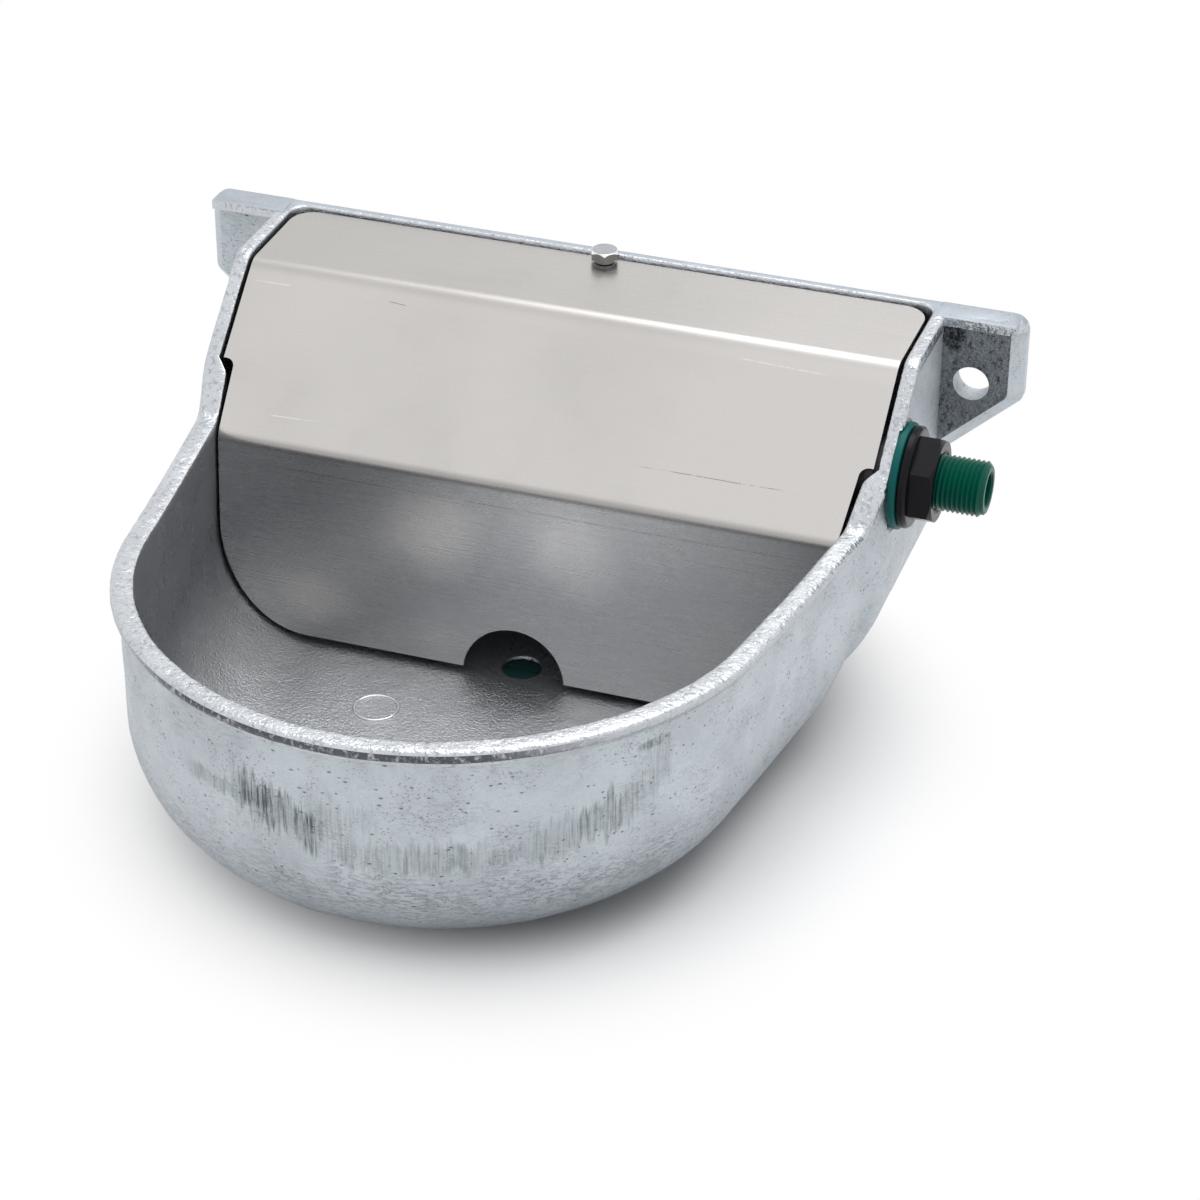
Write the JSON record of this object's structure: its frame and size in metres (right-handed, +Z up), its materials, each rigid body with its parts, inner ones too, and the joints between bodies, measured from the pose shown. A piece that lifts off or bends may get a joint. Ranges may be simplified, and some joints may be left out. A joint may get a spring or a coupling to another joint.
{
  "type": "livestock drinking bowl",
  "caption": "Wall-hung cast drinking bowl for livestock with bolt ears, a bent stainless cover, and a float valve fed by a threaded inlet at its side.",
  "frame": {"origin": "on the flat back that lies against the wall, midway between the two bolt holes and at their height", "axes": "+X to the right towards the inlet, +Y into the wall, +Z up"},
  "size_m": [0.3328, 0.2949, 0.1393],
  "materials": {
    "galvanised_iron": "hot-dip galvanised, cast texture",
    "brushed_stainless": "brushed",
    "zinc_plated_steel": "bright zinc plated",
    "green_plastic": "moulded, satin",
    "teal_rubber": "smooth",
    "black_plastic": "moulded, satin",
    "black_rubber": "smooth",
    "white_plastic": "moulded",
    "grey_plastic": "moulded",
    "lever_plastic": "moulded",
    "disc_rubber": "smooth",
    "float_plastic": "moulded",
    "stainless_screw": "bright",
    "pin_steel": "ground",
    "float_screw_steel": "bright",
    "plug_rubber": "moulded",
    "seal_rubber": "smooth"
  },
  "bodies": {
    "bowl": {"bowl_casting": "galvanised_iron", "inlet_fitting": "green_plastic", "outer_gasket": "teal_rubber", "inner_gasket": "black_rubber", "lock_nut": "black_plastic", "nozzle": "white_plastic", "spigot_seal_ring": "black_rubber", "valve_housing": "grey_plastic", "housing_screw": "stainless_screw", "pivot_pin": "pin_steel", "front_pin_clip": "pin_steel", "rear_pin_clip": "pin_steel"},
    "cover": {"cover_plate": "brushed_stainless", "cover_screw": "zinc_plated_steel"},
    "float_arm": {"float_lever": "lever_plastic", "seal_disc": "disc_rubber", "float": "float_plastic", "float_screw": "float_screw_steel"},
    "drain": {"drain_plug": "plug_rubber", "drain_seal": "seal_rubber"}
  },
  "joints": [
    {"name": "float_swing", "type": "hinge", "parent": "bowl", "child": "float_arm", "pos_m": [0.1031, -0.066, -0.0269], "axis": [0, 1, 0], "range_deg": [0, 10]},
    {"name": "cover_lift", "type": "slide", "parent": "bowl", "child": "cover", "axis": [0, 0, 1], "range_m": [0, 0.135]},
    {"name": "drain_plug_pull", "type": "slide", "parent": "bowl", "child": "drain", "axis": [0, 0, 1], "range_m": [0, 0.02]}
  ]
}
